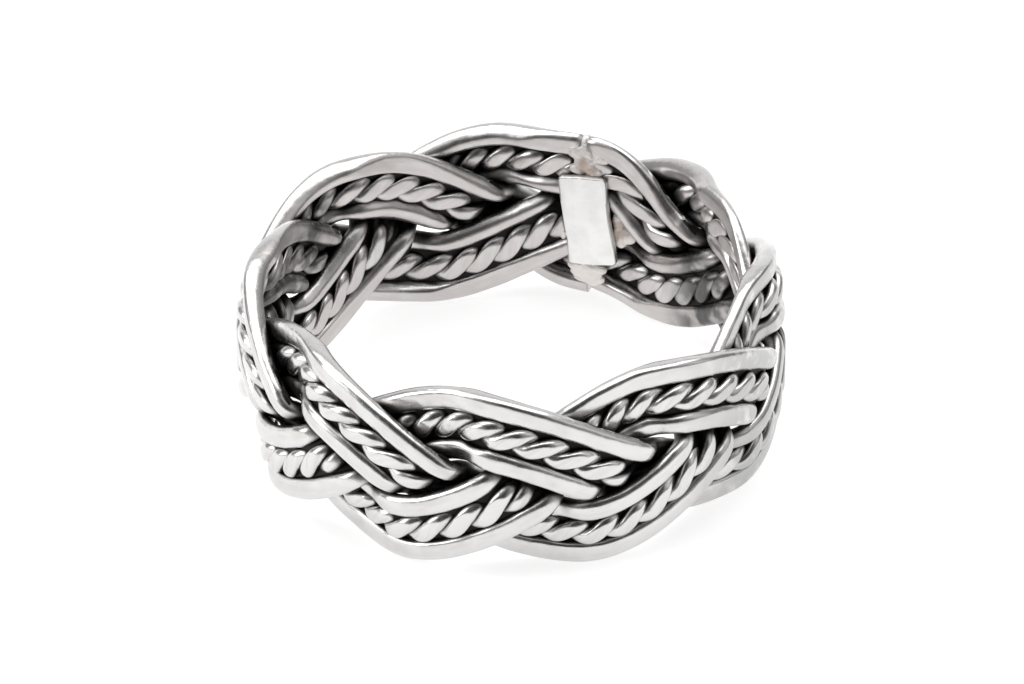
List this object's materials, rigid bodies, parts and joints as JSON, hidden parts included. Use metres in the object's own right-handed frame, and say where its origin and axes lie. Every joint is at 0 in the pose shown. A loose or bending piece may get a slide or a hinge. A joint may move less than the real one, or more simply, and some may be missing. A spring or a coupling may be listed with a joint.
{
  "type": "braided band ring",
  "caption": "Open braided finger ring of flattened plain wires with twisted wires between them, joined at a soldered seam under a small bare plate.",
  "frame": {"origin": "centre of the finger hole, at the height of the lower rim that the ring lies on", "axes": "+Z along the finger hole, up from the lower rim. -Y is the front, and the soldered seam is at the back, a little towards +X"},
  "size_m": [0.022, 0.022, 0.008],
  "materials": {
    "plain_wire": "polished silver with fine scratches and blackened recesses",
    "twisted_wire": "polished high faces over blackened grooves",
    "seam_plate": "satin plate with duller, slightly brown solder"
  },
  "bodies": {
    "root": {"strand_1_upper_wire": "plain_wire", "strand_1_twisted_wire": "twisted_wire", "strand_1_lower_wire": "plain_wire", "strand_2_upper_wire": "plain_wire", "strand_2_twisted_wire": "twisted_wire", "strand_2_lower_wire": "plain_wire", "strand_3_upper_wire": "plain_wire", "strand_3_twisted_wire": "twisted_wire", "strand_3_lower_wire": "plain_wire", "seam_plate": "seam_plate"}
  },
  "joints": []
}
